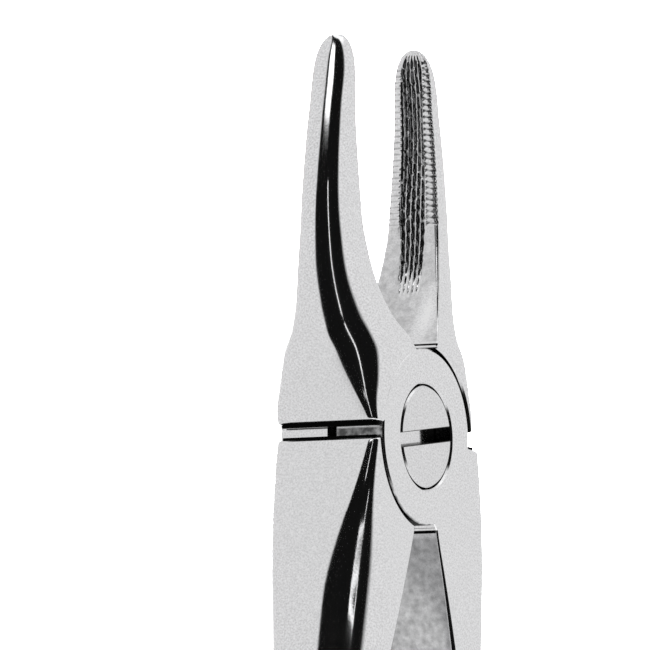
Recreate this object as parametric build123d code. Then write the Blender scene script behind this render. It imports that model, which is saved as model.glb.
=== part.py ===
from build123d import *
import math
import os

# Extraction forceps of the English pattern: two forged halves that cross in a lap joint and turn on a
# slotted pivot screw. Millimetres. The instrument lies on its back: +Y points along the beaks, +Z is
# the pivot axis and points out of the screw's slotted head, and the origin is on the pivot axis, in
# the plane of the back face.
#
# Both halves come from the same forging. A closed half is made about the lap plane, beak on the right
# and handle on the left, and the front one is turned half a turn about Y. Each is opened to rest.

# ---- joint ---------------------------------------------------------------------------------------
THICKNESS = 11.7                # of the joint, from back face to front face
LAYER = THICKNESS / 2           # each half keeps one layer of the joint
LAP_GAP = 0.06                  # between the sliding faces of the two layers
PLATE_R = 8.85                  # round joint plate of each half
SEAT_R = 9.25                   # round seat cut in the other half for that plate
EDGE_BREAK = 0.18               # chamfer where plate and seat meet the outer face
RIM_CHAMFER = 0.5               # chamfer on the plate's rim at the lap face
BEAK_STOP_DEG = 13.9            # stop face of a closed beak, above the X axis
BEAK_SHOULDER_DEG = 16.6        # shoulder that stands back from it, round a narrower neck
HANDLE_STOP_DEG = 12.7          # the same two of a closed handle, below the X axis
HANDLE_SHOULDER_DEG = 14.5
NECK_INSET = 0.42               # how far in a neck stands from the faces of its bar

# ---- pivot screw ---------------------------------------------------------------------------------
HEAD_R = 5.1
HEAD_HEIGHT = 3.2
HEAD_CLEARANCE = 0.18           # around and under the head
SHANK_R = 3.3                   # bearing that the front half turns on
RUNNING_CLEARANCE = 0.03        # around that bearing
THREAD_R = 2.6                  # threaded end, ground flush with the back face
SLOT_WIDTH = 1.4
SLOT_DEPTH = 1.9
SLOT_TURN_DEG = 7.0             # where the slot came to rest when the screw was driven home

# ---- opening -------------------------------------------------------------------------------------
REST_OPENING_DEG = 10.5         # each half stands this far from closed

# ---- sections of the closed beak, to the right of the centre plane ----------------------------------
# Y of the section, inner face, outer face, half thickness, width of the rounding at the front and at
# the back outer edge, bevel of the rim, width of the flat land inside it, depth of the hollow between
# the lands.
BEAK = [
    (0.0, 0.60, 9.75, 5.85, 0.60, 0.50, 0.15, 0.50, 0.02),
    (3.0, 0.60, 9.75, 5.85, 0.80, 1.10, 0.15, 0.50, 0.02),
    (4.9, 0.60, 9.46, 5.85, 1.00, 2.10, 0.15, 0.60, 0.02),
    (6.6, 0.60, 9.08, 5.85, 1.60, 3.10, 0.15, 0.70, 0.02),
    (9.6, 0.68, 8.75, 5.74, 2.90, 4.40, 0.15, 0.95, 0.02),
    (11.5, 1.90, 8.85, 4.98, 3.60, 4.60, 0.18, 1.15, 0.02),
    (13.5, 2.80, 9.20, 4.35, 3.90, 4.10, 0.20, 1.35, 0.03),
    (17.5, 3.66, 9.52, 3.52, 4.35, 3.25, 0.26, 1.40, 0.15),
    (21.5, 3.80, 9.02, 3.05, 4.60, 2.80, 0.30, 1.22, 0.40),
    (24.5, 3.40, 8.48, 2.82, 4.60, 2.52, 0.30, 1.10, 0.62),
    (28.0, 2.86, 7.45, 2.60, 3.90, 2.30, 0.30, 1.00, 0.66),
    (31.6, 2.18, 6.05, 2.36, 2.80, 2.15, 0.30, 0.90, 0.60),
    (35.1, 1.32, 4.55, 2.18, 2.10, 2.05, 0.28, 0.80, 0.55),
    (37.6, 0.78, 3.40, 2.06, 1.70, 2.10, 0.25, 0.62, 0.35),
    (39.3, 0.48, 2.60, 1.68, 1.40, 1.75, 0.20, 0.45, 0.16),
    (40.3, 0.40, 1.90, 1.15, 1.05, 1.15, 0.15, 0.30, 0.05),
    (40.7, 0.40, 1.55, 0.50, 0.75, 0.75, 0.10, 0.12, 0.02),
]

# ---- sections of the closed handle, to the left of the centre plane, X written without its sign -----
# Y of the section, inner face, outer face, half thickness, width of the rounding at the front and at
# the back outer edge, radius of the inner corners, depth of the hollow along the inner face.
HANDLE = [
    (0.0, 0.50, 10.10, 5.85, 0.50, 0.70, 0.20, 0.02),
    (-3.0, 0.50, 10.22, 5.85, 1.15, 0.80, 0.20, 0.02),
    (-5.5, 0.50, 10.38, 5.85, 1.60, 1.10, 0.22, 0.02),
    (-8.0, 0.50, 10.42, 5.85, 2.20, 1.35, 0.25, 0.02),
    (-9.8, 0.55, 10.38, 5.85, 2.80, 1.50, 0.28, 0.02),
    (-13.0, 1.05, 10.08, 5.85, 3.95, 1.70, 0.35, 0.02),
    (-18.0, 1.80, 9.85, 5.80, 5.05, 2.60, 0.50, 0.03),
    (-25.0, 2.90, 9.70, 5.60, 5.00, 3.90, 0.75, 0.06),
    (-33.0, 4.20, 10.40, 5.42, 4.70, 4.50, 1.00, 0.15),
    (-45.0, 5.80, 12.20, 5.45, 4.80, 4.80, 1.10, 0.40),
    (-60.0, 7.20, 14.20, 5.68, 5.20, 5.20, 1.20, 0.60),
    (-78.0, 8.15, 15.85, 5.85, 5.50, 5.50, 1.20, 0.70),
    (-95.0, 8.40, 16.30, 5.85, 5.50, 5.50, 1.20, 0.70),
    (-110.0, 7.70, 15.70, 5.85, 5.50, 5.50, 1.20, 0.60),
    (-122.0, 6.50, 14.45, 5.80, 5.40, 5.40, 1.20, 0.35),
    (-130.0, 5.50, 13.00, 5.80, 5.40, 5.40, 1.30, 0.12),
    (-134.5, 5.60, 12.00, 5.00, 3.80, 3.80, 1.40, 0.04),
    (-137.0, 6.50, 10.60, 3.50, 1.80, 1.80, 1.00, 0.02),
    (-138.0, 7.00, 9.90, 2.00, 0.80, 0.80, 0.70, 0.02),
]
REAR_EXTRA = -0.58              # what each handle has over the table on its outer side
FRONT_EXTRA = 0.7
FLATTEST = 0.97                 # height of a rounding at most, as a share of the half thickness

CUT = 60.0                      # size of a cutting tool, larger than the joint
LENGTH = 200.0                  # longer than the whole instrument
FROM_BELOW = (Align.CENTER, Align.CENTER, Align.MIN)
FROM_ABOVE = (Align.CENTER, Align.CENTER, Align.MAX)


# ---- forged bars ---------------------------------------------------------------------------------

def corner(start, end, centre, radius):
    """Round corner from start to end, bulging away from its centre."""
    out = (Vector(start) + Vector(end)) / 2 - Vector(centre)
    return ThreePointArc(start, Vector(centre) + out.normalized() * radius, end)


def rounding(y, centre, width, height, start):
    """Quarter of an ellipse in the plane of the section at y, from start degrees on, clockwise."""
    across = Plane(origin=(0, y, 0), x_dir=(1, 0, 0), z_dir=(0, -1, 0))
    return across * EllipticalCenterArc(centre, width, height, start, arc_size=-90)


def outer_edges(y, inner, outer, half, front_width, back_width):
    """Front face, rounded outer side and back face of a section, from front to back."""
    front_turn = outer - front_width
    front_height = min(front_width, FLATTEST * half)
    back_turn = outer - back_width
    back_height = min(back_width, FLATTEST * half)
    front_knee = half - front_height
    back_knee = back_height - half
    return [
        Line((inner, y, half), (front_turn, y, half)),
        rounding(y, (front_turn, front_knee), front_width, front_height, 90),
        Line((outer, y, front_knee), (outer, y, back_knee)),
        rounding(y, (back_turn, back_knee), back_width, back_height, 0),
        Line((back_turn, y, -half), (inner, y, -half)),
    ]


def beak_section(y, inner, outer, half, front_width, back_width, bevel, land, hollow):
    """Section of the beak: its inner face is a hollow between two flat lands with bevelled rims."""
    def at(x, z):
        return (x, y, z)

    rim = inner + bevel
    edge = half - bevel
    lip = edge - land
    edges = outer_edges(y, rim, outer, half, front_width, back_width)
    edges += [
        Line(at(rim, -half), at(inner, -edge)),
        Line(at(inner, -edge), at(inner, -lip)),
        ThreePointArc(at(inner, -lip), at(inner + hollow, 0), at(inner, lip)),
        Line(at(inner, lip), at(inner, edge)),
        Line(at(inner, edge), at(rim, half)),
    ]
    return Wire([part.edge() for part in edges])


def handle_section(y, inner, outer, half, front_width, back_width, inner_radius, hollow):
    """Section of the handle: its inner face is slightly hollow between two rounded corners."""
    def at(x, z):
        return (x, y, z)

    rim = inner + inner_radius
    lip = half - inner_radius
    edges = outer_edges(y, rim, outer, half, front_width, back_width)
    edges += [
        corner(at(rim, -half), at(inner, -lip), at(rim, -lip), inner_radius),
        ThreePointArc(at(inner, -lip), at(inner + hollow, 0), at(inner, lip)),
        corner(at(inner, lip), at(rim, half), at(rim, lip), inner_radius),
    ]
    return Wire([part.edge() for part in edges])


def upright_wedge(start, end):
    """Everything between two upright planes through the axis, in degrees above +X, as one solid."""
    turns = [math.radians(angle) for angle in (start, end)]
    corners = [(CUT * math.cos(turn), CUT * math.sin(turn)) for turn in turns]
    return Pos(0, 0, -CUT) * extrude(make_face(Polyline((0, 0), *corners, close=True)), 2 * CUT)


def with_neck(bar, stop, shoulder, inner, outer):
    """Cuts a right-hand bar off at the radial stop plane, and leaves only a narrower neck between there
    and the shoulder plane."""
    below = (Align.CENTER, Align.MAX, Align.CENTER)
    bar -= Rot(0, 0, stop) * Box(CUT, CUT, CUT, align=below)
    neck = Pos((inner + outer) / 2, 0, 0) * Box(outer - inner, CUT, THICKNESS - 2 * NECK_INSET)
    return bar - (upright_wedge(stop - 1, shoulder) - neck)


def beak_bar():
    """Closed beak, from its stop face in the joint to its tip."""
    bar = Solid.make_loft([beak_section(*row) for row in BEAK])
    inner, outer = BEAK[0][1:3]
    return with_neck(bar, BEAK_STOP_DEG, BEAK_SHOULDER_DEG, inner + NECK_INSET, outer - NECK_INSET)


def handle_bar(extra):
    """Closed handle, from its stop face in the joint to its end. It is drawn as a beak is, on the right
    and pointing up, and then turned half a turn about Z."""
    rows = [(-y, inner, outer + extra, *rest) for y, inner, outer, *rest in HANDLE]
    bar = Solid.make_loft([handle_section(*row) for row in rows])
    inner, outer = rows[0][1:3]
    bar = with_neck(bar, HANDLE_STOP_DEG, HANDLE_SHOULDER_DEG, inner + NECK_INSET, outer - NECK_INSET)
    return Rot(0, 0, 180) * bar


# ---- joint ---------------------------------------------------------------------------------------

def joint_plate():
    """Round plate below the lap plane, with its rim chamfered at the lap face."""
    plate = Pos(0, 0, -LAYER) * Cylinder(PLATE_R, LAYER - LAP_GAP / 2, align=FROM_BELOW)
    plate = chamfer(plate.edges().filter_by(GeomType.CIRCLE).sort_by(Axis.Z)[-1], RIM_CHAMFER)
    lower = plate.edges().filter_by(GeomType.CIRCLE).sort_by(Axis.Z)[0]
    return chamfer(lower, EDGE_BREAK)


def seat_tool():
    """Tool for the seat above the lap plane, opening out a little at the front face."""
    bore = Pos(0, 0, -LAP_GAP / 2) * Cylinder(SEAT_R, LAYER + LAP_GAP + CUT, align=FROM_BELOW)
    mouth = Pos(0, 0, LAYER) * Cone(SEAT_R, SEAT_R + EDGE_BREAK, EDGE_BREAK, align=FROM_ABOVE)
    return bore + mouth


def closed_half(extra):
    """One half about the lap plane, closed and with no screw hole. Both faces are ground flat to the
    joint's thickness."""
    bars = (beak_bar() + handle_bar(extra)) & Box(LENGTH, 2 * LENGTH, THICKNESS)
    return (bars - seat_tool()) + joint_plate()


# ---- the pieces, in the instrument's own frame ---------------------------------------------------

def rear_half():
    """Beak on the right, rear layer of the joint, handle on the left, threaded for the screw."""
    half = Rot(0, 0, -REST_OPENING_DEG) * (Pos(0, 0, LAYER) * closed_half(REAR_EXTRA))
    return half - Cylinder(THREAD_R, CUT)


def front_half():
    """The same forging turned over: beak on the left, front layer, bored and counterbored."""
    half = Rot(0, 180, 0) * closed_half(FRONT_EXTRA)
    half = Rot(0, 0, REST_OPENING_DEG) * (Pos(0, 0, LAYER) * half)
    bore = Cylinder(SHANK_R + RUNNING_CLEARANCE, CUT)
    head_seat = THICKNESS - HEAD_HEIGHT - HEAD_CLEARANCE
    counterbore = Pos(0, 0, head_seat) * Cylinder(HEAD_R + HEAD_CLEARANCE, CUT, align=FROM_BELOW)
    mouth_r = HEAD_R + HEAD_CLEARANCE
    mouth = Pos(0, 0, THICKNESS) * Cone(mouth_r, mouth_r + EDGE_BREAK, EDGE_BREAK, align=FROM_ABOVE)
    return half - bore - counterbore - mouth


def pivot_screw():
    """Slotted screw: threaded end in the rear half, bearing and head in the front half."""
    lap_face = LAYER - LAP_GAP / 2
    head_base = THICKNESS - HEAD_HEIGHT
    thread = Cylinder(THREAD_R, lap_face, align=FROM_BELOW)
    shank = Pos(0, 0, lap_face) * Cylinder(SHANK_R, head_base - lap_face, align=FROM_BELOW)
    head = Pos(0, 0, head_base) * Cylinder(HEAD_R, HEAD_HEIGHT, align=FROM_BELOW)
    head = chamfer(head.edges().filter_by(GeomType.CIRCLE).sort_by(Axis.Z)[-1], EDGE_BREAK)
    slot = Pos(0, 0, THICKNESS) * Box(CUT, SLOT_WIDTH, 2 * SLOT_DEPTH)
    return thread + shank + head - Rot(0, 0, SLOT_TURN_DEG) * slot


PIECES = {
    "front_half": front_half,
    "rear_half": rear_half,
    "pivot_screw": pivot_screw,
}


def main():
    os.makedirs("parts", exist_ok=True)
    for node, make in PIECES.items():
        shape = make()
        shape.label = node
        export_step(shape, f"parts/{node}.step")


if __name__ == "__main__":
    main()
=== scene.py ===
import bpy
import math
import numpy as np
from mathutils import Matrix, Vector


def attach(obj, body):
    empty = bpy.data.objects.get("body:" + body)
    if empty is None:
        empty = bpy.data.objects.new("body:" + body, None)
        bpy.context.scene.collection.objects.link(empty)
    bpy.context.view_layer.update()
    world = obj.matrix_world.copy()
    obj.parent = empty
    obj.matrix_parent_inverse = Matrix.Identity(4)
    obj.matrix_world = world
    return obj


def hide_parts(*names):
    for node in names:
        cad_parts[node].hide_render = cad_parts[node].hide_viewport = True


# Extraction forceps, lying flat over a pale floor and seen close up from the left. The two forged halves
# are rebuilt as fine meshes from the same sections as the solids, with the serrations, the flutes of the
# beaks and the cross-cut grips in the geometry. Sizes are in millimetres until the meshes are made, and a
# half is drawn closed, about the lap plane, before it is opened to rest.

MM = 0.001

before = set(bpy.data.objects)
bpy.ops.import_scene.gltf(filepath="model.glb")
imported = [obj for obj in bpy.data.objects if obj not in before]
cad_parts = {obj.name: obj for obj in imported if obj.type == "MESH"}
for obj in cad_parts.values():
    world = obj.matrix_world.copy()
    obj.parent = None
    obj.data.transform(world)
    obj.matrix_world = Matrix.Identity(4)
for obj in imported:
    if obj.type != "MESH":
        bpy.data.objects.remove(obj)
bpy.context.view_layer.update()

# ---- joint, as in the solids ---------------------------------------------------------------------
THICKNESS = 11.7
LAYER = THICKNESS / 2
PLATE_R = 8.85
SEAT_R = 9.25
PLATE_OPEN = 3.0                # the plate's wall shows at the sides of the joint up to this Y
PLANE_GAP = 0.003               # between faces of a half that would lie in one plane
LAP_GAP = 0.06
EDGE_BREAK = 0.18
RIM_CHAMFER = 0.5
BEAK_STOP = math.tan(math.radians(13.9))          # slopes of the stop faces
HANDLE_STOP = math.tan(math.radians(12.7))
BEAK_SHOULDER = math.tan(math.radians(16.6))      # and of the shoulders that stand back from them
HANDLE_SHOULDER = math.tan(math.radians(14.5))
HEAD_R = 5.1
HEAD_HEIGHT = 3.2
HEAD_CLEARANCE = 0.18
SHANK_R = 3.3
SHANK_GAP = 0.03                # round the shank, in the front half
THREAD_R = 2.6
THREAD_GAP = 0.02               # round the thread, in the rear half
SLOT_WIDTH = 1.4
SLOT_DEPTH = 1.9
SLOT_LIP = 0.07                 # chamfer along its edges
SLOT_TURN = math.radians(7.0)
REST_OPENING = math.radians(10.5)

# ---- closed beak: Y, inner face, outer face, half thickness, width of the rounding at the front and at
# ---- the back outer edge, rounding of the rim, width of the flat land inside it, depth of the hollow --
BEAK = [
    (0.0, 0.60, 9.75, 5.85, 0.60, 0.50, 0.15, 0.50, 0.02),
    (3.0, 0.60, 9.75, 5.85, 0.80, 1.10, 0.15, 0.50, 0.02),
    (4.9, 0.60, 9.46, 5.85, 1.00, 2.10, 0.15, 0.60, 0.02),
    (6.6, 0.60, 9.08, 5.85, 1.60, 3.10, 0.15, 0.70, 0.02),
    (9.6, 0.68, 8.75, 5.74, 2.90, 4.40, 0.15, 0.95, 0.02),
    (11.5, 1.90, 8.85, 4.98, 3.60, 4.60, 0.18, 1.15, 0.02),
    (13.5, 2.80, 9.20, 4.35, 3.90, 4.10, 0.20, 1.35, 0.03),
    (17.5, 3.66, 9.52, 3.52, 4.35, 3.25, 0.26, 1.40, 0.15),
    (21.5, 3.80, 9.02, 3.05, 4.60, 2.80, 0.30, 1.22, 0.40),
    (24.5, 3.40, 8.48, 2.82, 4.60, 2.52, 0.30, 1.10, 0.62),
    (28.0, 2.86, 7.45, 2.60, 3.90, 2.30, 0.30, 1.00, 0.66),
    (31.6, 2.18, 6.05, 2.36, 2.80, 2.15, 0.30, 0.90, 0.60),
    (35.1, 1.32, 4.55, 2.18, 2.10, 2.05, 0.28, 0.75, 0.55),
    (37.6, 0.78, 3.40, 2.16, 1.70, 2.10, 0.25, 0.62, 0.35),
    (39.3, 0.48, 2.60, 2.16, 1.40, 1.85, 0.20, 0.45, 0.16),
    (40.7, 0.40, 1.60, 2.16, 1.00, 1.10, 0.12, 0.30, 0.05),
]

# ---- closed handle, drawn on the right and away from the beak: distance from the pivot, inner face,
# ---- outer face, half thickness, width of the rounding at the front and at the back outer edge, radius
# ---- of the inner edges, depth of the hollow along the inner face ------------------------------------
HANDLE = [
    (0.0, 0.50, 10.10, 5.85, 0.50, 0.70, 0.20, 0.02),
    (3.0, 0.50, 10.22, 5.85, 1.15, 0.80, 0.20, 0.02),
    (5.5, 0.50, 10.38, 5.85, 1.60, 1.10, 0.22, 0.02),
    (8.0, 0.50, 10.42, 5.85, 2.20, 1.35, 0.25, 0.02),
    (9.8, 0.55, 10.38, 5.85, 2.80, 1.50, 0.28, 0.02),
    (13.0, 1.05, 10.08, 5.85, 3.95, 1.70, 0.35, 0.02),
    (18.0, 1.80, 9.85, 5.80, 5.05, 2.60, 0.50, 0.03),
    (25.0, 2.90, 9.70, 5.60, 5.00, 3.90, 0.75, 0.06),
    (33.0, 4.20, 10.40, 5.42, 4.70, 4.50, 1.00, 0.15),
    (45.0, 5.80, 12.20, 5.45, 4.80, 4.80, 1.10, 0.40),
    (60.0, 7.20, 14.20, 5.68, 5.20, 5.20, 1.20, 0.60),
    (78.0, 8.15, 15.85, 5.85, 5.50, 5.50, 1.20, 0.70),
    (95.0, 8.40, 16.30, 5.85, 5.50, 5.50, 1.20, 0.70),
    (110.0, 7.70, 15.70, 5.85, 5.50, 5.50, 1.20, 0.60),
    (122.0, 6.50, 14.45, 5.80, 5.40, 5.40, 1.20, 0.35),
    (130.0, 5.50, 13.00, 5.80, 5.40, 5.40, 1.30, 0.12),
    (138.0, 4.60, 11.20, 5.80, 5.40, 5.40, 1.40, 0.04),
]
REAR_EXTRA = -0.58              # what each handle has over the table on its outer side
FRONT_EXTRA = 0.7
BEAK_SOFTNESS = 0.6             # how far along the bar the table's kinks are smoothed
HANDLE_SOFTNESS = 1.5
BEAK_SIDE = 9.3                 # how far out the outer side of a leaning section is looked up
HANDLE_SIDE = 9.9
LEAN_FADES = (0.5, 9.5)         # sections lean with the shoulder at first, and stand square after this
FLATTEST = 0.97                 # most that a rounding takes of the half thickness
WIDEST = 1.6                    # and its width at most, as a share of that
LEAST_WIDTH = 0.02              # of a rounding
LEAST_FACE = 0.05               # of a front or back face, between rim and rounding
RIM_MOST = 0.3                  # of a thin section's half thickness
LAND_MOST = 0.45                # of what the rim leaves
HOLLOW_GROWS = (21.0, 34.0)     # where the beak's hollow sinks to the table's depth
HOLLOW_ENDS = (36.5, 39.5)
BEAK_TIP_START = 35.4           # where the beak's outline starts to round off
BEAK_TIP_LENGTH = 5.3
BEAK_TIP_FULLNESS = 2.5         # 2 is an ellipse
BEAK_TIP_TURN = math.radians(88)                  # of the last ring, just short of the very tip
HANDLE_END_START = 131.0
HANDLE_END_LENGTH = 7.0
HANDLE_END_TURN = math.radians(86)
HANDLE_END_MIDDLE = 0.45        # where the end closes, as a share of the way from inner to outer face
SHOULDER_ROUND = 0.28           # rounding of the shoulders' edges
NECK_INSET = 0.42               # how far in the stop faces stand from the shoulders' outline
CROTCH_FROM = 8.75              # chamfered step of the inner faces, next to the joint plates
CROTCH_TO = 9.5
CROTCH_STEP = 0.42
BEAK_CROTCH_SHADE_LINES = [(9.14, 9.42), (9.68, 9.87)]  # lines painted near black across it as shade; nothing is cut there
HANDLE_CROTCH_SHADE_LINES = [(9.5, 9.75)]
BLACK_SHADE = 2.0                      # painted shade value that turns the necks and the crotch lines near black; 1 is a groove's bottom
PLATE_WALL_SHADE = 0.9                # painted shade value of the front plate's wall, where it shows beside the joint

# ---- cut detail ----------------------------------------------------------------------------------
TEETH_START = 23.0              # serrations of the lands, along the closed beak
TEETH_PITCH = 0.59
TEETH = 28
TOOTH_STEPS = 6                 # rings per tooth
TOOTH_DEPTH = 0.2
TOOTH_FLANK = 0.34              # half a cut's width at its top, in teeth
TIP_RINGS = 18
BACK_TEETH = 0.5                # depth of the back row against the front row
FRONT_TEETH_FLAT = 0.25         # what is left of the front row's depth beside the flutes
FRONT_LAND_SHARE = 0.92         # width of the lands against the solid's
BACK_LAND_SHARE = 0.8
FLUTES = 5
FLUTE_PITCH = 0.57
FLUTE_STEPS = 10                # points across one flute
FLUTE_DEPTH = 0.22
FLUTES_START = 15.3
FLUTES_FULL = 19.5
FLUTES_END = (39.0, 40.2)
FLUTES_BEND = (15.0, 26.0)      # where they bend and draw together on their way to the joint
FLUTES_GATHER = 0.15
FLUTES_FRONT = 0.35             # how far in front of the middle plane they start
FLUTES_ASIDE = 0.05             # how far in front of the hollow's middle they run after the bend
FLUTES_REACH = 0.96             # most that they take of the way to the front land
FLUTE_ROUNDNESS = 1.3
FLUTE_WOBBLE = 0.5              # how far the depth of each wanders
RUN_OUT_HIGHLIGHT = 1.0            # painted highlight on the flutes' shallow ends
RIDGE_NICKS = 0.9               # how far the ridges between the flutes are broken up
RIDGE_SOUND = 0.2               # how much of the wandering leaves a ridge whole
INNER_SATIN_SHADE = 0.45              # the handles' inner faces are rougher and painted darker as shade, as if this deep in a cut
BEAK_SATIN_SHADE = 0.34               # so are the beaks' near the joint
SATIN_SHADE_FROM = (9.9, 10.2)
BEAK_SATIN_SHADE_FADES = (16.0, 33.0)
HIGHLIGHT_SPOT = 1.3                    # painted highlight: brightness of the spot between the joint and the flutes
HIGHLIGHT_SPOT_AT = (13.4, 3.0)         # Y and Z of its middle
HIGHLIGHT_SPOT_SIZE = (2.2, 0.7)
GRIP_START = 48.0
GRIP_PITCH = 1.6                # of the cross-cut diamonds
GRIP_ROWS = 47
GRIP_COLUMNS = 11               # diamonds across the outer side
GRIP_STEPS = 6                  # rings, and points across, per diamond
GRIP_DEPTH = 0.28
GRIP_FLANK = 0.28               # half a groove's width at its top, in diamonds
END_RINGS = 16


# ---- numbers -------------------------------------------------------------------------------------

def smooth_rows(rows, softness, step=0.05):
    """The table's columns against its first one: monotone between the rows, then softened."""
    table = np.array(rows)
    knots = table[:, 0]
    values = table[:, 1:]
    gaps = np.diff(knots)[:, None]
    slopes = np.diff(values, axis=0) / gaps
    tangents = np.zeros_like(values)
    same_way = slopes[:-1] * slopes[1:] > 0
    weight_a = 2 * gaps[1:] + gaps[:-1]
    weight_b = gaps[1:] + 2 * gaps[:-1]
    with np.errstate(divide="ignore", invalid="ignore"):
        harmonic = (weight_a + weight_b) / (weight_a / slopes[:-1] + weight_b / slopes[1:])
    tangents[1:-1] = np.where(same_way, harmonic, 0.0)
    tangents[0] = slopes[0]
    tangents[-1] = slopes[-1]
    fine = np.arange(knots[0], knots[-1] + step / 2, step)
    cell = np.clip(np.searchsorted(knots, fine, side="right") - 1, 0, len(knots) - 2)
    width = (knots[cell + 1] - knots[cell])[:, None]
    part = (fine - knots[cell])[:, None] / width
    curve = (
        (2 * part**3 - 3 * part**2 + 1) * values[cell]
        + (part**3 - 2 * part**2 + part) * width * tangents[cell]
        + (3 * part**2 - 2 * part**3) * values[cell + 1]
        + (part**3 - part**2) * width * tangents[cell + 1]
    )
    reach = int(3 * softness / step)
    kernel = np.exp(-0.5 * (np.arange(-reach, reach + 1) * step / softness) ** 2)
    kernel /= kernel.sum()
    head = 2 * curve[0] - curve[1:reach + 1][::-1]
    tail = 2 * curve[-1] - curve[-reach - 1:-1][::-1]
    padded = np.vstack([head, curve, tail])
    soft = np.column_stack([np.convolve(column, kernel, mode="valid") for column in padded.T])

    def at(y):
        return [float(np.interp(y, fine, column)) for column in soft.T]

    return at


def rise(value, start, end):
    """0 before start, 1 after end, smooth between."""
    part = np.clip((value - start) / (end - start), 0.0, 1.0)
    return part * part * (3 - 2 * part)


def end_round(y, start, length, fullness=2.0):
    """1 up to start, then a quarter ellipse, or a fuller curve, down to 0."""
    part = min(max((y - start) / length, 0.0), 1.0)
    return (1 - part ** fullness) ** (1 / fullness)


def wander(value, seed):
    """Slow, smooth, repeatable irregularity between about -1 and 1."""
    return (
        math.sin(1.9 * value + 2.4 * seed)
        + 0.7 * math.sin(4.3 * value + 5.1 * seed)
        + 0.5 * math.sin(9.7 * value + 1.3 * seed)
    ) / 2.2


def line(start, end, count):
    """Points from start up to but not including end."""
    share = np.arange(count)[:, None] / count
    return np.array(start) + (np.array(end) - np.array(start)) * share


def arc(centre, size, start, end, count):
    """Points on an elliptical arc from start to end, in degrees from +X towards +Z, without the last."""
    angle = np.radians(start + (end - start) * np.arange(count) / count)
    return np.array(centre) + np.array(size) * np.column_stack([np.cos(angle), np.sin(angle)])


# ---- sections, as points (x, z) that run from the front face round the outer side -------------------

FACE_STEPS = 10                 # points along each stretch of a section
CORNER_STEPS = 18
SIDE_STEPS = 6
RIM_STEPS = 5
LAND_STEPS = 5
BESIDE_STEPS = 4                # between a land and the flutes
INNER_CORNER_STEPS = 6
INNER_STEPS = 12
OUTER_STEPS = GRIP_COLUMNS * GRIP_STEPS
BACK_LAND = 2 * FACE_STEPS + 2 * CORNER_STEPS + SIDE_STEPS + RIM_STEPS      # first point of each
FIRST_FLUTE = BACK_LAND + LAND_STEPS + BESIDE_STEPS
FRONT_LAND = FIRST_FLUTE + FLUTES * FLUTE_STEPS + BESIDE_STEPS
INNER_FACE = 2 * FACE_STEPS + OUTER_STEPS + INNER_CORNER_STEPS     # first point of the handle's inner face


def outer_side(outer, half, front_width, back_width):
    """Points from the front face round the outer side to the back face."""
    most = FLATTEST * half
    front = (front_width, min(front_width, most))
    back = (back_width, min(back_width, most))
    turn_front = (outer - front[0], half - front[1])
    turn_back = (outer - back[0], back[1] - half)
    return np.vstack([
        arc(turn_front, front, 90, 0, CORNER_STEPS),
        line((outer, turn_front[1]), (outer, turn_back[1]), SIDE_STEPS),
        arc(turn_back, back, 0, -90, CORNER_STEPS),
    ])


def evenly(points, end, count):
    """The same line from points to end, with its points spread evenly."""
    points = np.vstack([points, end])
    gone = np.concatenate([[0.0], np.cumsum(np.linalg.norm(np.diff(points, axis=0), axis=1))])
    wanted = gone[-1] * np.arange(count) / count
    return np.column_stack([np.interp(wanted, gone, column) for column in points.T])


def hollowed(inner, lip, hollow, z):
    """Points of the inner face at each z, bowed outwards between the lips."""
    bow = (lip * lip + hollow * hollow) / (2 * max(hollow, 1e-3))
    x = inner + hollow - bow + np.sqrt(np.maximum(bow * bow - z * z, 0.0))
    return np.column_stack([x, z])


def beak_ring(inner, outer, half, front_width, back_width, rim, land, hollow, gather):
    """The points of one section of the beak. As gather goes to 1, the flutes draw together and move
    from the hollow's middle to where they start."""
    face = inner + rim
    edge = half - rim
    front_lip = edge - FRONT_LAND_SHARE * land
    back_lip = -edge + BACK_LAND_SHARE * land
    middle = (front_lip + back_lip) / 2
    lip = (front_lip - back_lip) / 2
    centre = FLUTES_FRONT * gather + (middle + FLUTES_ASIDE) * (1 - gather)
    full_reach = FLUTES * FLUTE_PITCH / 2 * (1 - FLUTES_GATHER * gather)
    reach = min(full_reach, FLUTES_REACH * (front_lip - centre))
    first = centre - reach
    last = centre + reach
    z = np.concatenate([
        np.linspace(back_lip, first, BESIDE_STEPS, endpoint=False),
        np.linspace(first, last, FLUTES * FLUTE_STEPS, endpoint=False),
        np.linspace(last, front_lip, BESIDE_STEPS, endpoint=False),
    ])
    bowed = hollowed(inner, lip, hollow, z - middle) + np.array([0.0, middle])
    return np.vstack([
        line((face, half), (outer - front_width, half), FACE_STEPS),
        outer_side(outer, half, front_width, back_width),
        line((outer - back_width, -half), (face, -half), FACE_STEPS),
        arc((face, -edge), rim, 270, 180, RIM_STEPS),
        line((inner, -edge), (inner, back_lip), LAND_STEPS),
        bowed,
        line((inner, front_lip), (inner, edge), LAND_STEPS),
        arc((face, edge), rim, 180, 90, RIM_STEPS),
    ])


def handle_ring(inner, outer, half, front_width, back_width, inner_radius, hollow):
    """The points of one section of the handle. Its outer side is divided evenly for the grip."""
    rim = inner + inner_radius
    lip = half - inner_radius
    side = outer_side(outer, half, front_width, back_width)
    return np.vstack([
        line((rim, half), (outer - front_width, half), FACE_STEPS),
        evenly(side, (outer - back_width, -half), OUTER_STEPS),
        line((outer - back_width, -half), (rim, -half), FACE_STEPS),
        arc((rim, -lip), inner_radius, 270, 180, INNER_CORNER_STEPS),
        hollowed(inner, lip, hollow, np.linspace(-lip, lip, INNER_STEPS, endpoint=False)),
        arc((rim, lip), inner_radius, 180, 90, INNER_CORNER_STEPS),
    ])


# ---- bars ----------------------------------------------------------------------------------------

def stations(*stretches):
    """Distances along a bar, from stretches of (start, end, spacing)."""
    out = []
    for start, end, spacing in stretches:
        count = max(1, round((end - start) / spacing))
        out += [start + (end - start) * k / count for k in range(count)]
    return out + [stretches[-1][1]]


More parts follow.
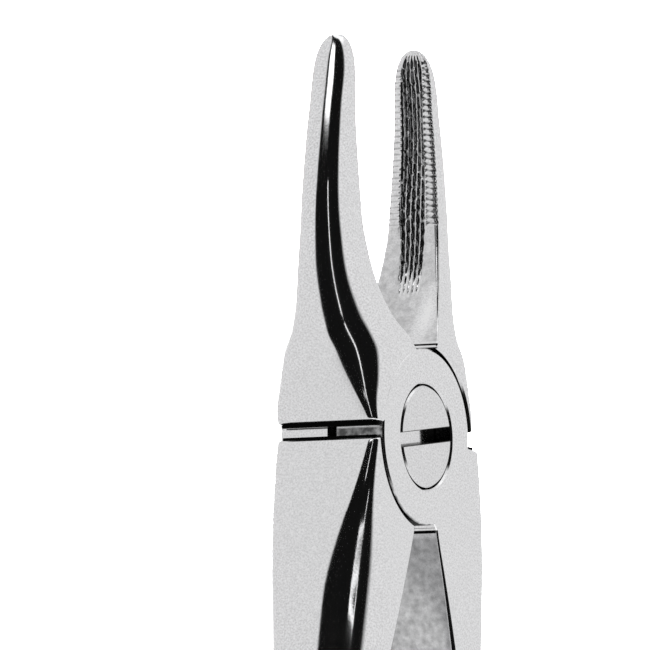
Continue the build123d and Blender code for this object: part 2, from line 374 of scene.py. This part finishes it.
def closing_stations(start, length, first_turn, last_turn, count):
    """Spots round the end of a bar, as shoulder_stations gives them, closer together towards its tip."""
    turns = [first_turn + (last_turn - first_turn) * k / count for k in range(1, count + 1)]
    return [(start + length * math.sin(turn), 0.0, 0.0, 0.0) for turn in turns]


def shoulder_stations(stop, shoulder):
    """The stop face, the neck behind it, painted near black as shade, and the rounded edge of the shoulder,
    each as distance, lean of the section, how far the section is drawn in, and its painted shade value."""
    out = [(0.0, stop, NECK_INSET, BLACK_SHADE), (0.0, shoulder - 0.002, NECK_INSET, BLACK_SHADE)]
    for turn in range(0, 90, 15):
        angle = math.radians(turn)
        away = SHOULDER_ROUND * (1 - math.cos(angle))
        out.append((away, shoulder, SHOULDER_ROUND * (1 - math.sin(angle)), 0.0))
    return out


def crotch(y):
    """How much nearer the centre plane the inner face stands beside the joint plates."""
    return CROTCH_STEP * (1 - min(max((y - CROTCH_FROM) / (CROTCH_TO - CROTCH_FROM), 0.0), 1.0))


def within(y, spans):
    """Whether y lies in one of the spans."""
    return any(start <= y <= end for start, end in spans)


def beak_detail(points, depth, y):
    """Cuts the teeth into both lands and the flutes into the hollow at this station."""
    begun = rise(y, FLUTES_START, FLUTES_FULL)
    strength = begun * (1 - rise(y, *FLUTES_END))
    # painted highlight on the flutes' shallow ends
    run_out_glint = RUN_OUT_HIGHLIGHT * min(1.0, 4 * begun) * (1 - rise(begun, 0.6, 1.0))
    for k in range(FIRST_FLUTE + 1, FRONT_LAND - BESIDE_STEPS):
        phase = (k - FIRST_FLUTE) / FLUTE_STEPS
        groove = (0.5 - 0.5 * math.cos(2 * math.pi * phase)) ** FLUTE_ROUNDNESS
        wobble = max(0.2, 1 + FLUTE_WOBBLE * wander(1.7 * y, int(phase)))
        nick = max(0.0, wander(2.3 * y, 7.1 * round(phase)) - RIDGE_SOUND) * RIDGE_NICKS
        cut = strength * (groove * wobble + (1 - groove) * nick)
        points[k, 0] += FLUTE_DEPTH * cut
        # the cut darkens the flutes as painted shade; their shallow ends get a painted highlight
        depth[k] = max(depth[k], cut * begun) - run_out_glint * groove
    tooth = (y - TEETH_START) / TEETH_PITCH
    if 0 < tooth < TEETH:
        ends = min(1.0, tooth + 0.3, TEETH - tooth)
        cut = max(0.0, 1 - abs(tooth % 1.0 - 0.5) / TOOTH_FLANK) * ends
        # the teeth are darkened by their cut, as painted shade
        back = range(BACK_LAND - RIM_STEPS // 2, BACK_LAND + LAND_STEPS + 1)
        front = range(FRONT_LAND, FRONT_LAND + LAND_STEPS + RIM_STEPS - 1)
        for k in back:
            points[k, 0] += TOOTH_DEPTH * BACK_TEETH * cut
            depth[k] = max(depth[k], BACK_TEETH * cut)
        for k in front:
            outwards = min(1.0, (k - FRONT_LAND) / LAND_STEPS)
            share = FRONT_TEETH_FLAT + (1 - FRONT_TEETH_FLAT) * outwards
            points[k, 0] += TOOTH_DEPTH * share * cut
            depth[k] = max(depth[k], share * cut)


def inner_finish_and_shade(points, y):
    """How dull, and painted dark or bright, the beak's inner face is at this station, as values of "recess"
    for its points.
    """
    if within(y, BEAK_CROTCH_SHADE_LINES):
        return BLACK_SHADE
    # rougher, and painted darker as shade, near the joint; crotch lines painted near black
    satin_shade = BEAK_SATIN_SHADE * rise(y, *SATIN_SHADE_FROM) * (1 - rise(y, *BEAK_SATIN_SHADE_FADES))
    # a painted highlight spot
    along = (y - HIGHLIGHT_SPOT_AT[0]) / HIGHLIGHT_SPOT_SIZE[0]
    across = (points[:, 1] - HIGHLIGHT_SPOT_AT[1]) / HIGHLIGHT_SPOT_SIZE[1]
    return satin_shade - HIGHLIGHT_SPOT * np.exp(-along ** 2 - across ** 2)


def beak_bar():
    """Rings of the closed beak on the right, as an array of (ring, point, xyz), and cut depths, with the
    painted shade and highlights they carry.
    """
    table = smooth_rows(BEAK, BEAK_SOFTNESS)
    tooth_step = TEETH_PITCH / TOOTH_STEPS
    teeth_end = TEETH_START + TEETH * TEETH_PITCH
    spots = shoulder_stations(BEAK_STOP, BEAK_SHOULDER)
    spaced = stations((SHOULDER_ROUND, CROTCH_FROM, 0.3), (CROTCH_FROM, 10.0, 0.05),
                      (10.0, TEETH_START, 0.2), (TEETH_START, teeth_end, tooth_step))
    spots += [(y, BEAK_SHOULDER * (1 - rise(y, *LEAN_FADES)), 0.0, 0.0) for y in spaced]
    tip_end = BEAK_TIP_START + BEAK_TIP_LENGTH
    first = math.asin((teeth_end - BEAK_TIP_START) / BEAK_TIP_LENGTH)
    spots += closing_stations(BEAK_TIP_START, BEAK_TIP_LENGTH, first, BEAK_TIP_TURN, TIP_RINGS)
    rings = []
    depths = []
    for y, lean, inset, painted_dark in spots:
        inner, _, _, _, _, rim, land, hollow = table(y)
        _, outer, half, front_width, back_width, _, _, _ = table(min(y + lean * BEAK_SIDE, tip_end))
        rounding = end_round(y, BEAK_TIP_START, BEAK_TIP_LENGTH, BEAK_TIP_FULLNESS)
        half = half * rounding - inset
        inner += inset - crotch(y)
        outer -= inset
        rim = min(rim, RIM_MOST * half)
        land = min(land, LAND_MOST * (half - rim))
        most = min(outer - inner - rim - LEAST_FACE, WIDEST * half)
        front_width = max(LEAST_WIDTH, min(front_width, most) - inset)
        back_width = max(LEAST_WIDTH, min(back_width, most) - inset)
        gather = 1 - rise(y, *FLUTES_BEND)
        hollow *= rise(y, *HOLLOW_GROWS) * (1 - rise(y, *HOLLOW_ENDS))
        points = beak_ring(inner, outer, half, front_width, back_width, rim, land, hollow, gather)
        depth = np.full(len(points), painted_dark)
        depth[BACK_LAND:] = inner_finish_and_shade(points[BACK_LAND:], y)
        beak_detail(points, depth, y)
        rings.append(np.column_stack([points[:, 0], y + lean * points[:, 0], points[:, 1]]))
        depths.append(depth)
    return np.array(rings), np.array(depths)


def grip_detail(points, depth, y):
    """Cuts the crossed grooves of the grip into the outer side at this station."""
    row = (y - GRIP_START) / GRIP_PITCH
    if not 0 <= row <= GRIP_ROWS:
        return
    ends = min(1.0, 2 * row, 2 * (GRIP_ROWS - row))
    before = points.copy()
    for step in range(1, OUTER_STEPS):
        column = step / GRIP_STEPS
        edges = min(1.0, 2 * column, 2 * (GRIP_COLUMNS - column))
        one = abs((row + column + 0.5) % 1.0 - 0.5)
        other = abs((row - column + 0.5) % 1.0 - 0.5)
        cut = max(0.0, 1 - one / GRIP_FLANK, 1 - other / GRIP_FLANK) * ends * edges
        k = FACE_STEPS + step
        along = before[k + 1] - before[k - 1]
        inwards = np.array([along[1], -along[0]]) / np.linalg.norm(along)
        points[k] += inwards * GRIP_DEPTH * cut
        # the grooves are darkened by their cut, as painted shade
        depth[k] = cut


def handle_bar(extra):
    """Rings of the closed handle, drawn on the right and upwards as the beak is, and cut depths, with the
    painted shade they carry.
    """
    table = smooth_rows(HANDLE, HANDLE_SOFTNESS)
    grip_end = GRIP_START + GRIP_ROWS * GRIP_PITCH
    spots = shoulder_stations(HANDLE_STOP, HANDLE_SHOULDER)
    spaced = stations((SHOULDER_ROUND, CROTCH_FROM, 0.35), (CROTCH_FROM, 10.0, 0.05),
                      (10.0, 20.0, 0.4), (20.0, GRIP_START, 0.7),
                      (GRIP_START, grip_end, GRIP_PITCH / GRIP_STEPS), (grip_end, HANDLE_END_START, 0.6))
    spots += [(y, HANDLE_SHOULDER * (1 - rise(y, *LEAN_FADES)), 0.0, 0.0) for y in spaced]
    spots += closing_stations(HANDLE_END_START, HANDLE_END_LENGTH, 0.0, HANDLE_END_TURN, END_RINGS)
    rings = []
    depths = []
    for y, lean, inset, painted_dark in spots:
        inner, _, _, _, _, inner_radius, hollow = table(y)
        _, outer, half, front_width, back_width, _, _ = table(y + lean * HANDLE_SIDE)
        outer += extra
        rounding = end_round(y, HANDLE_END_START, HANDLE_END_LENGTH)
        middle = inner + HANDLE_END_MIDDLE * (outer - inner)
        inner = middle + (inner - middle) * rounding + inset - crotch(y)
        outer = middle + (outer - middle) * rounding - inset
        half = half * rounding - inset
        front_width = max(LEAST_WIDTH, front_width * rounding - inset)
        back_width = max(LEAST_WIDTH, back_width * rounding - inset)
        points = handle_ring(inner, outer, half, front_width, back_width,
                             inner_radius * rounding, hollow * rounding)
        depth = np.full(len(points), painted_dark)
        # rougher, and painted darker as shade; crotch lines painted near black
        satin_shade = INNER_SATIN_SHADE * rise(y, *SATIN_SHADE_FROM)
        depth[INNER_FACE:] = BLACK_SHADE if within(y, HANDLE_CROTCH_SHADE_LINES) else satin_shade
        grip_detail(points, depth, y)
        rings.append(np.column_stack([points[:, 0], y + lean * points[:, 0], points[:, 1]]))
        depths.append(depth)
    return np.array(rings), np.array(depths)


# ---- meshes --------------------------------------------------------------------------------------

SHARP_EDGE = math.radians(32)   # faces that meet more sharply than this keep a crisp edge
NEARLY_BLACK_SHADE = 1.5               # painted shade value from which a face takes the near-black material that paints shade
ON_RADIUS = 0.02                # how near a radius a face counts as on it
UPRIGHT = 0.3                   # a wall's normal leans less than this towards Z
LEVEL = 0.95                    # and a flat face's at least this


def make_object(name, vertices, faces):
    """A mesh object from vertices in millimetres."""
    mesh = bpy.data.meshes.new(name)
    mesh.from_pydata([tuple(v) for v in np.array(vertices) * MM], [], faces)
    mesh.update()
    obj = bpy.data.objects.new(name, mesh)
    bpy.context.scene.collection.objects.link(obj)
    return obj


def loft(name, rings, depths):
    """A closed mesh over rings of equal length, with a fan at each end. Each point keeps the attribute
    "recess", which paints shade and highlights into the metal's colour: 1 at a groove's bottom, painted
    dark as shade, and below 0 for a painted highlight."""
    count, size = rings.shape[:2]
    vertices = list(rings.reshape(-1, 3))
    faces = []
    for i in range(count - 1):
        for j in range(size):
            k = (j + 1) % size
            faces.append((i * size + j, i * size + k, (i + 1) * size + k, (i + 1) * size + j))
    for ring, outwards in ((0, False), (count - 1, True)):
        centre = len(vertices)
        vertices.append(rings[ring].mean(axis=0))
        for j in range(size):
            edge = (ring * size + j, ring * size + (j + 1) % size)
            faces.append((*edge, centre) if outwards else (edge[1], edge[0], centre))
    obj = make_object(name, vertices, faces)
    give_recess(obj, [*depths.reshape(-1), 0.0, 0.0])
    return obj


def give_recess(obj, values):
    """Says how deep each point of a mesh is cut, which paints it darker as shade, or how much shade or
    highlight is painted on it.
    """
    obj.data.attributes.new("recess", "FLOAT", "POINT").data.foreach_set("value", values)


def lathe(name, profile, segments=256):
    """A closed mesh turned about Z from points (r, z) that run from the axis back to the axis."""
    vertices = []
    faces = []
    rows = []
    for r, z in profile:
        if r == 0:
            rows.append([len(vertices)])
            vertices.append((0, 0, z))
            continue
        rows.append(list(range(len(vertices), len(vertices) + segments)))
        for k in range(segments):
            angle = 2 * math.pi * k / segments
            vertices.append((r * math.cos(angle), r * math.sin(angle), z))
    for low, high in zip(rows, rows[1:]):
        for k in range(segments):
            n = (k + 1) % segments
            if len(low) == 1:
                faces.append((low[0], high[n], high[k]))
            elif len(high) == 1:
                faces.append((low[k], low[n], high[0]))
            else:
                faces.append((low[k], low[n], high[n], high[k]))
    return make_object(name, vertices, faces)


def combine(target, tool, operation):
    """Applies a boolean to target and removes the tool."""
    change = target.modifiers.new("cut", "BOOLEAN")
    change.object = tool
    change.operation = operation
    change.solver = "MANIFOLD"
    depsgraph = bpy.context.evaluated_depsgraph_get()
    result = bpy.data.meshes.new_from_object(target.evaluated_get(depsgraph))
    target.modifiers.clear()
    old = target.data
    target.data = result
    bpy.data.meshes.remove(old)
    bpy.data.objects.remove(tool)


def finish_mesh(obj, matrix):
    """Moves a finished mesh to its place in the frame and shades it."""
    obj.data.transform(matrix)
    obj.data.update()
    obj.data.shade_smooth()
    obj.data.set_sharp_from_angle(angle=SHARP_EDGE)


def mark(obj, inside):
    """Gives the second, near-black material, which paints shade, to the faces whose middle, in millimetres,
    and normal pass the test, and to those with nothing but points painted near black."""
    recess = obj.data.attributes.get("recess")
    for face in obj.data.polygons:
        deep = recess is not None and all(recess.data[k].value > NEARLY_BLACK_SHADE for k in face.vertices)
        if deep or inside(face.center / MM, face.normal):
            face.material_index = 1


def on_gap_wall(centre, normal):
    """Whether a face is on the wall of the seat or the counterbore, on the part of the plate's wall that
    the other half's seat surrounds, or on the plate's rim. These faces are painted near black as shade."""
    radius = math.hypot(centre.x, centre.y)
    hidden = [SEAT_R, HEAD_R + HEAD_CLEARANCE]
    if abs(centre.y) > PLATE_OPEN:
        hidden.append(PLATE_R)
    wall = abs(normal.z) < UPRIGHT and any(abs(radius - r) < ON_RADIUS for r in hidden)
    rim = UPRIGHT < normal.z < LEVEL and PLATE_R - RIM_CHAMFER < radius < PLATE_R
    return wall or rim


def closed_half(name, extra, wall_shade):
    """One half about the lap plane, closed: beak right, plate below the lap plane, handle left. The plate's
    wall is painted darker as shade, by as much as the third argument says."""
    beak = loft(name, *beak_bar())
    rings, depths = handle_bar(extra)
    handle = loft("handle", rings * np.array([-1, -1, 1]), depths)
    top = -LAP_GAP / 2 - PLANE_GAP
    bottom = -LAYER + PLANE_GAP
    plate = lathe("plate", [
        (0, bottom), (PLATE_R - EDGE_BREAK, bottom), (PLATE_R, bottom + EDGE_BREAK),
        (PLATE_R, top - RIM_CHAMFER), (PLATE_R - RIM_CHAMFER, top), (0, top),
    ])
    wall = (PLATE_R - 0.01) * MM
    # the plate's wall gets its painted shade value
    give_recess(plate, [wall_shade if v.co.xy.length > wall else 0.0 for v in plate.data.vertices])
    seat = lathe("seat", [
        (0, -LAP_GAP / 2), (SEAT_R, -LAP_GAP / 2), (SEAT_R, LAYER - EDGE_BREAK),
        (SEAT_R + EDGE_BREAK, LAYER), (SEAT_R + EDGE_BREAK, LAYER + 1), (0, LAYER + 1),
    ])
    combine(beak, handle, "UNION")
    combine(beak, seat, "DIFFERENCE")
    combine(beak, plate, "UNION")
    return beak


def prism(name, profile, length):
    """A closed mesh along X from a convex outline (y, z), centred on X = 0."""
    size = len(profile)
    vertices = [(x, y, z) for x in (-length / 2, length / 2) for y, z in profile]
    faces = [(k, (k + 1) % size, size + (k + 1) % size, size + k) for k in range(size)]
    faces += [tuple(range(size - 1, -1, -1)), tuple(range(size, 2 * size))]
    return make_object(name, vertices, faces)


def rear_half():
    """Beak on the right, rear layer of the joint, handle on the left, with the threaded hole."""
    half = closed_half("rear_half_forging", REAR_EXTRA, 0.0)
    bore = THREAD_R + THREAD_GAP
    hole = lathe("hole", [
        (0, -LAYER - 1), (THREAD_R + EDGE_BREAK, -LAYER - 1), (THREAD_R + EDGE_BREAK, -LAYER),
        (bore, -LAYER + EDGE_BREAK), (bore, 1), (0, 1),
    ])
    combine(half, hole, "DIFFERENCE")
    # the walls of the gaps are painted near black as shade
    mark(half, on_gap_wall)
    lift = Matrix.Translation((0, 0, LAYER * MM))
    finish_mesh(half, Matrix.Rotation(-REST_OPENING, 4, "Z") @ lift)
    return half


def front_half():
    """The same forging turned over: beak on the left, front layer, counterbored for the screw."""
    half = closed_half("front_half_forging", FRONT_EXTRA, PLATE_WALL_SHADE)
    wide = HEAD_R + HEAD_CLEARANCE
    bore = SHANK_R + SHANK_GAP
    floor = -LAYER + HEAD_HEIGHT + HEAD_CLEARANCE
    hole = lathe("hole", [
        (0, -LAYER - 1), (wide + EDGE_BREAK, -LAYER - 1), (wide + EDGE_BREAK, -LAYER),
        (wide, -LAYER + EDGE_BREAK), (wide, floor), (bore, floor), (bore, 1), (0, 1),
    ])
    combine(half, hole, "DIFFERENCE")
    # the walls of the gaps are painted near black as shade
    mark(half, on_gap_wall)
    lift = Matrix.Translation((0, 0, LAYER * MM))
    turn = Matrix.Rotation(REST_OPENING, 4, "Z") @ lift @ Matrix.Rotation(math.pi, 4, "Y")
    finish_mesh(half, turn)
    return half


def pivot_screw():
    """Slotted screw: threaded end flush with the back face, bearing, and head flush with the front."""
    lap = LAYER - LAP_GAP / 2
    head_base = THICKNESS - HEAD_HEIGHT
    screw = lathe("pivot_screw_turned", [
        (0, 0), (THREAD_R - EDGE_BREAK, 0), (THREAD_R, EDGE_BREAK), (THREAD_R, lap), (SHANK_R, lap),
        (SHANK_R, head_base), (HEAD_R, head_base), (HEAD_R, THICKNESS - EDGE_BREAK),
        (HEAD_R - EDGE_BREAK, THICKNESS), (0, THICKNESS),
    ])
    side = SLOT_WIDTH / 2
    mouth = side + SLOT_LIP
    slot = prism("slot", [
        (-side, THICKNESS - SLOT_DEPTH), (side, THICKNESS - SLOT_DEPTH), (side, THICKNESS - SLOT_LIP),
        (mouth, THICKNESS), (mouth, THICKNESS + 1), (-mouth, THICKNESS + 1),
        (-mouth, THICKNESS), (-side, THICKNESS - SLOT_LIP),
    ], 4 * HEAD_R)
    slot.data.transform(Matrix.Rotation(SLOT_TURN, 4, "Z"))
    combine(screw, slot, "DIFFERENCE")
    across = Vector((-math.sin(SLOT_TURN), math.cos(SLOT_TURN), 0))
    # the slot's walls, and upright faces in line with it, are painted near black as shade
    mark(screw, lambda centre, normal: abs(centre.dot(across)) < mouth and abs(normal.z) < 0.9)
    finish_mesh(screw, Matrix.Identity(4))
    return screw


# ---- materials -----------------------------------------------------------------------------------

GRAIN = 0.13                    # how much the grain lightens and darkens the metal
RECESS_SHADE_TONE = 0.15              # painted shade: brightness left at the bottom of a deep cut
RECESS_ROUGH = 0.2
HIGHLIGHT_TONE = 1.2                # brightness of a painted highlight, where the attribute is -1


class Nodes:
    """A short way to write a node tree."""

    def __init__(self, tree):
        self.tree = tree
        tree.nodes.clear()

    def add(self, kind, inputs=None, **settings):
        node = self.tree.nodes.new(kind)
        for key, value in settings.items():
            setattr(node, key, value)
        for key, value in (inputs or {}).items():
            if isinstance(value, bpy.types.NodeSocket):
                self.tree.links.new(value, node.inputs[key])
            else:
                node.inputs[key].default_value = value
        return node

    def maths(self, operation, first, second=0.0):
        return self.add("ShaderNodeMath", {0: first, 1: second}, operation=operation).outputs[0]


def steel(name, tone, gloss):
    """Satin-polished stainless steel: fine grain, faint lengthwise polishing lines and handling haze. Where
    the attribute "recess" is high it is rougher and painted darker, as shade, and where it is below 0 it is
    painted brighter, as a highlight."""
    material = bpy.data.materials.new(name)
    material.use_nodes = True
    nodes = Nodes(material.node_tree)
    place = nodes.add("ShaderNodeTexCoord").outputs["Object"]
    grain = nodes.add("ShaderNodeTexNoise", {"Vector": place, "Scale": 5200.0, "Detail": 2.0})
    stretched = nodes.add("ShaderNodeMapping", {"Vector": place, "Scale": (6000.0, 350.0, 6000.0)})
    lines = nodes.add("ShaderNodeTexNoise", {"Vector": stretched.outputs[0], "Scale": 1.0, "Detail": 3.0})
    haze = nodes.add("ShaderNodeTexNoise", {"Vector": place, "Scale": 160.0, "Detail": 4.0})
    speckle = nodes.add("ShaderNodeTexNoise", {"Vector": place, "Scale": 1300.0, "Detail": 2.0})
    shade = nodes.add("ShaderNodeMapRange", {
        "Value": grain.outputs["Fac"], "From Min": 0.3, "From Max": 0.7,
        "To Min": tone * (1 - GRAIN), "To Max": tone * (1 + GRAIN),
    })
    recess = nodes.add("ShaderNodeAttribute", attribute_name="recess").outputs["Fac"]
    # painted shade: darker, and mottled, where "recess" is high
    recess_shade = nodes.add("ShaderNodeMapRange", {
        "Value": nodes.maths("MULTIPLY", recess, speckle.outputs["Fac"]),
        "From Min": 0.08, "From Max": 0.5, "To Min": 1.0, "To Max": RECESS_SHADE_TONE,
    })
    # painted highlight where "recess" is below 0
    highlight_lift = nodes.add("ShaderNodeMapRange", {
        "Value": recess, "From Min": -1.0, "From Max": 0.0, "To Min": HIGHLIGHT_TONE, "To Max": 1.0,
    })
    tone_with_highlight = nodes.maths("MULTIPLY", shade.outputs[0], highlight_lift.outputs[0])
    grey = nodes.maths("MINIMUM", nodes.maths("MULTIPLY", tone_with_highlight, recess_shade.outputs[0]), 1.0)
    colour = nodes.add("ShaderNodeCombineColor", {0: grey, 1: grey, 2: nodes.maths("MULTIPLY", grey, 1.01)})
    rough = nodes.add("ShaderNodeMapRange", {
        "Value": haze.outputs["Fac"], "From Min": 0.3, "From Max": 0.7,
        "To Min": gloss - 0.02, "To Max": gloss + 0.03,
    })
    deep = nodes.maths("MAXIMUM", recess, 0.0)
    dulled = nodes.maths("ADD", rough.outputs[0], nodes.maths("MULTIPLY", deep, RECESS_ROUGH))
    height = nodes.maths("ADD", nodes.maths("MULTIPLY", lines.outputs["Fac"], 0.6), grain.outputs["Fac"])
    bump = nodes.add("ShaderNodeBump", {"Height": height, "Strength": 0.06, "Distance": 0.00002})
    surface = nodes.add("ShaderNodeBsdfPrincipled", {
        "Base Color": colour.outputs[0], "Metallic": 1.0, "Roughness": dulled, "Normal": bump.outputs[0],
    })
    nodes.add("ShaderNodeOutputMaterial", {"Surface": surface.outputs[0]})
    return material


def plain(name, colour, roughness):
    """A matt surface of the studio."""
    material = bpy.data.materials.new(name)
    material.use_nodes = True
    surface = material.node_tree.nodes["Principled BSDF"]
    surface.inputs["Base Color"].default_value = (*colour, 1.0)
    surface.inputs["Roughness"].default_value = roughness
    surface.inputs["Specular IOR Level"].default_value = 0.0
    return material


# ---- the instrument ------------------------------------------------------------------------------

def dress(piece, material, node, body):
    """Gives a piece its material, and its gaps the near-black one that paints their shade, and puts it in
    the place of its solid.
    """
    marks = np.zeros(len(piece.data.polygons), dtype=np.int32)
    piece.data.polygons.foreach_get("material_index", marks)
    piece.data.materials.clear()
    piece.data.materials.append(material)
    piece.data.materials.append(gap_shade_steel)
    piece.data.polygons.foreach_set("material_index", marks)
    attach(piece, body)
    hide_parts(node)


# near-black steel that paints the shade in gaps, on the necks and on the crotch lines
gap_shade_steel = steel("gap_shade_steel", 0.05, 0.35)
forged = steel("forged_steel", 0.88, 0.08)
turned = steel("screw_steel", 0.84, 0.10)
dress(rear_half(), forged, "rear_half", "rear_body")
dress(front_half(), forged, "front_half", "front_body")
dress(pivot_screw(), turned, "pivot_screw", "rear_body")


# ---- studio --------------------------------------------------------------------------------------

ROOM = 0.76                     # brightness of what polished metal sees round it
SIDE = 0.73                     # of what it sees low down on either side
SIDE_FROM = (100.0, 108.0)      # in degrees from straight up
DARK = 0.006                    # of the black flag on the left
DARK_FROM = (5.0, 14.0)         # in degrees from straight up towards the left
DARK_TO = (114.0, 117.0)
DARK_TOP = (68.0, 78.0)         # in degrees towards the beak
DARK_FOOT = (-50.0, -58.0)
ENDS = 1.15                     # brightness of the two ends of the room
ENDS_FROM = (50.0, 58.0)        # in degrees towards the beak or the handles
CARD = 1.8                      # of the card that stands in front of the flag, over the beak
CARD_FROM = (71.0, 75.0)
CARD_TO = (100.0, 105.0)
CARD_TOP = (50.0, 56.0)         # in degrees towards the beak
CARD_EDGE = (29.6, 30.8)        # its lower edge, in degrees towards the beak
AMBIENT = 12.0                  # soft light on everything that isn't a reflection
FLOOR_SIZE = 6000.0
FLOOR_Z = -0.02                 # just under the instrument
STRIP_X = -30.0                 # thin strips of light on the left, drawn by reflections only
STRIP_WIDTH = 1.3
STRIP_POWER = 1.2
BEAK_STRIP = [(1.0, 19.6), (12.0, 19.4), (24.0, 17.8), (31.5, 16.8)]      # as (y, z)
HANDLE_STRIP = [(-2.5, 38.5), (-6.2, 36.0), (-11.2, 33.5), (-10.8, 24.0)]


def lamp(name, power):
    """A surface that gives light."""
    material = bpy.data.materials.new(name)
    material.use_nodes = True
    nodes = Nodes(material.node_tree)
    light = nodes.add("ShaderNodeEmission", {"Strength": power})
    nodes.add("ShaderNodeOutputMaterial", {"Surface": light.outputs[0]})
    return material


def strip_light(name, run):
    """A thin bent strip of light that only reflections show, along points (y, z)."""
    run = np.array(run)
    ways = np.gradient(run, axis=0)
    across = np.column_stack([-ways[:, 1], ways[:, 0]]) / np.linalg.norm(ways, axis=1)[:, None]
    edges = [run - across * STRIP_WIDTH / 2, run + across * STRIP_WIDTH / 2]
    corners = [(STRIP_X, y, z) for edge in edges for y, z in edge]
    size = len(run)
    faces = [(k, k + 1, size + k + 1, size + k) for k in range(size - 1)]
    strip = make_object(name, corners, faces)
    strip.data.materials.append(lamp(name, STRIP_POWER))
    for hide in ("visible_camera", "visible_diffuse", "visible_shadow", "visible_transmission"):
        setattr(strip, hide, False)


def sky():
    """Even soft light from all round. Polished metal sees a pale room with a black flag along its left
    side, and a bright card in front of the flag over the beak."""
    world = bpy.data.worlds.new("studio")
    bpy.context.scene.world = world
    world.use_nodes = True
    world.cycles.sampling_method = "NONE"       # what is lit and what is reflected stay apart
    nodes = Nodes(world.node_tree)

    def step(value, span, low=0.0, high=1.0):
        inputs = {"Value": value, "From Min": span[0], "From Max": span[1], "To Min": low, "To Max": high}
        return nodes.add("ShaderNodeMapRange", inputs).outputs[0]

    def blend(base, top, share):
        return nodes.add("ShaderNodeMix", {"Factor": share, "A": base, "B": top}).outputs[0]

    way = nodes.add("ShaderNodeTexCoord").outputs["Generated"]
    parts = nodes.add("ShaderNodeSeparateXYZ", {0: way}).outputs
    left = nodes.maths("MULTIPLY", parts["X"], -1.0)
    tilt = nodes.maths("DEGREES", nodes.maths("ARCTAN2", left, parts["Z"]))
    along = nodes.maths("DEGREES", nodes.maths("ARCSINE", parts["Y"]))
    aside = nodes.maths("ABSOLUTE", along)
    flag = nodes.maths("MULTIPLY", step(tilt, DARK_FROM), step(tilt, DARK_TO, 1.0, 0.0))
    flag = nodes.maths("MULTIPLY", flag, step(along, DARK_TOP, 1.0, 0.0))
    flag = nodes.maths("MULTIPLY", flag, step(along, DARK_FOOT, 1.0, 0.0))
    white = nodes.maths("MULTIPLY", step(tilt, CARD_FROM), step(tilt, CARD_TO, 1.0, 0.0))
    white = nodes.maths("MULTIPLY", white, step(along, CARD_EDGE))
    white = nodes.maths("MULTIPLY", white, step(along, CARD_TOP, 1.0, 0.0))
    room = blend(ROOM, ENDS, step(aside, ENDS_FROM))
    room = blend(room, SIDE, step(nodes.maths("ABSOLUTE", tilt), SIDE_FROM))
    room = blend(room, DARK, flag)
    room = blend(room, CARD, white)
    glossy = nodes.add("ShaderNodeLightPath").outputs["Is Glossy Ray"]
    light = nodes.add("ShaderNodeBackground", {"Strength": blend(AMBIENT, room, glossy)})
    light.inputs["Color"].default_value = (1.0, 1.0, 1.0, 1.0)
    nodes.add("ShaderNodeOutputWorld", {"Surface": light.outputs[0]})


def pale_floor():
    """A plain floor, far larger than the view, that the metal doesn't mirror."""
    reach = FLOOR_SIZE / 2
    corners = [(-reach, -reach, FLOOR_Z), (reach, -reach, FLOOR_Z),
               (reach, reach, FLOOR_Z), (-reach, reach, FLOOR_Z)]
    floor = make_object("floor", corners, [(0, 1, 2, 3)])
    floor.data.materials.append(plain("floor_paper", (0.9, 0.9, 0.9), 0.9))
    floor.visible_glossy = False


sky()
pale_floor()
for name, run in (("beak_strip", BEAK_STRIP), ("handle_strip", HANDLE_STRIP)):
    strip_light(name, run)


# ---- camera --------------------------------------------------------------------------------------

VIEW_LEFT = math.radians(60.7)  # from the pivot axis towards the left side
VIEW_DOWN = math.radians(5.0)   # towards the handles
VIEW_WIDTH = 65.0
LENS = 500.0
AIM_RIGHT = -5.03               # from the middle of the joint to the middle of the view
AIM_UP = 11.38

away = Vector((-math.sin(VIEW_LEFT) * math.cos(VIEW_DOWN), -math.sin(VIEW_DOWN),
               math.cos(VIEW_LEFT) * math.cos(VIEW_DOWN)))
right = Vector((0, 1, 0)).cross(away).normalized()
up = away.cross(right)
camera = bpy.data.objects.new("camera", bpy.data.cameras.new("camera"))
bpy.context.scene.collection.objects.link(camera)
camera.data.lens = LENS
aim = Vector((0, 0, LAYER)) + right * AIM_RIGHT + up * AIM_UP
place = (aim + away * VIEW_WIDTH * LENS / camera.data.sensor_width) * MM
camera.matrix_world = Matrix.Translation(place) @ Matrix((right, up, away)).transposed().to_4x4()
camera.data.clip_start = 0.01
camera.data.clip_end = 20.0
bpy.context.scene.camera = camera
bpy.context.scene.view_settings.view_transform = "Standard"
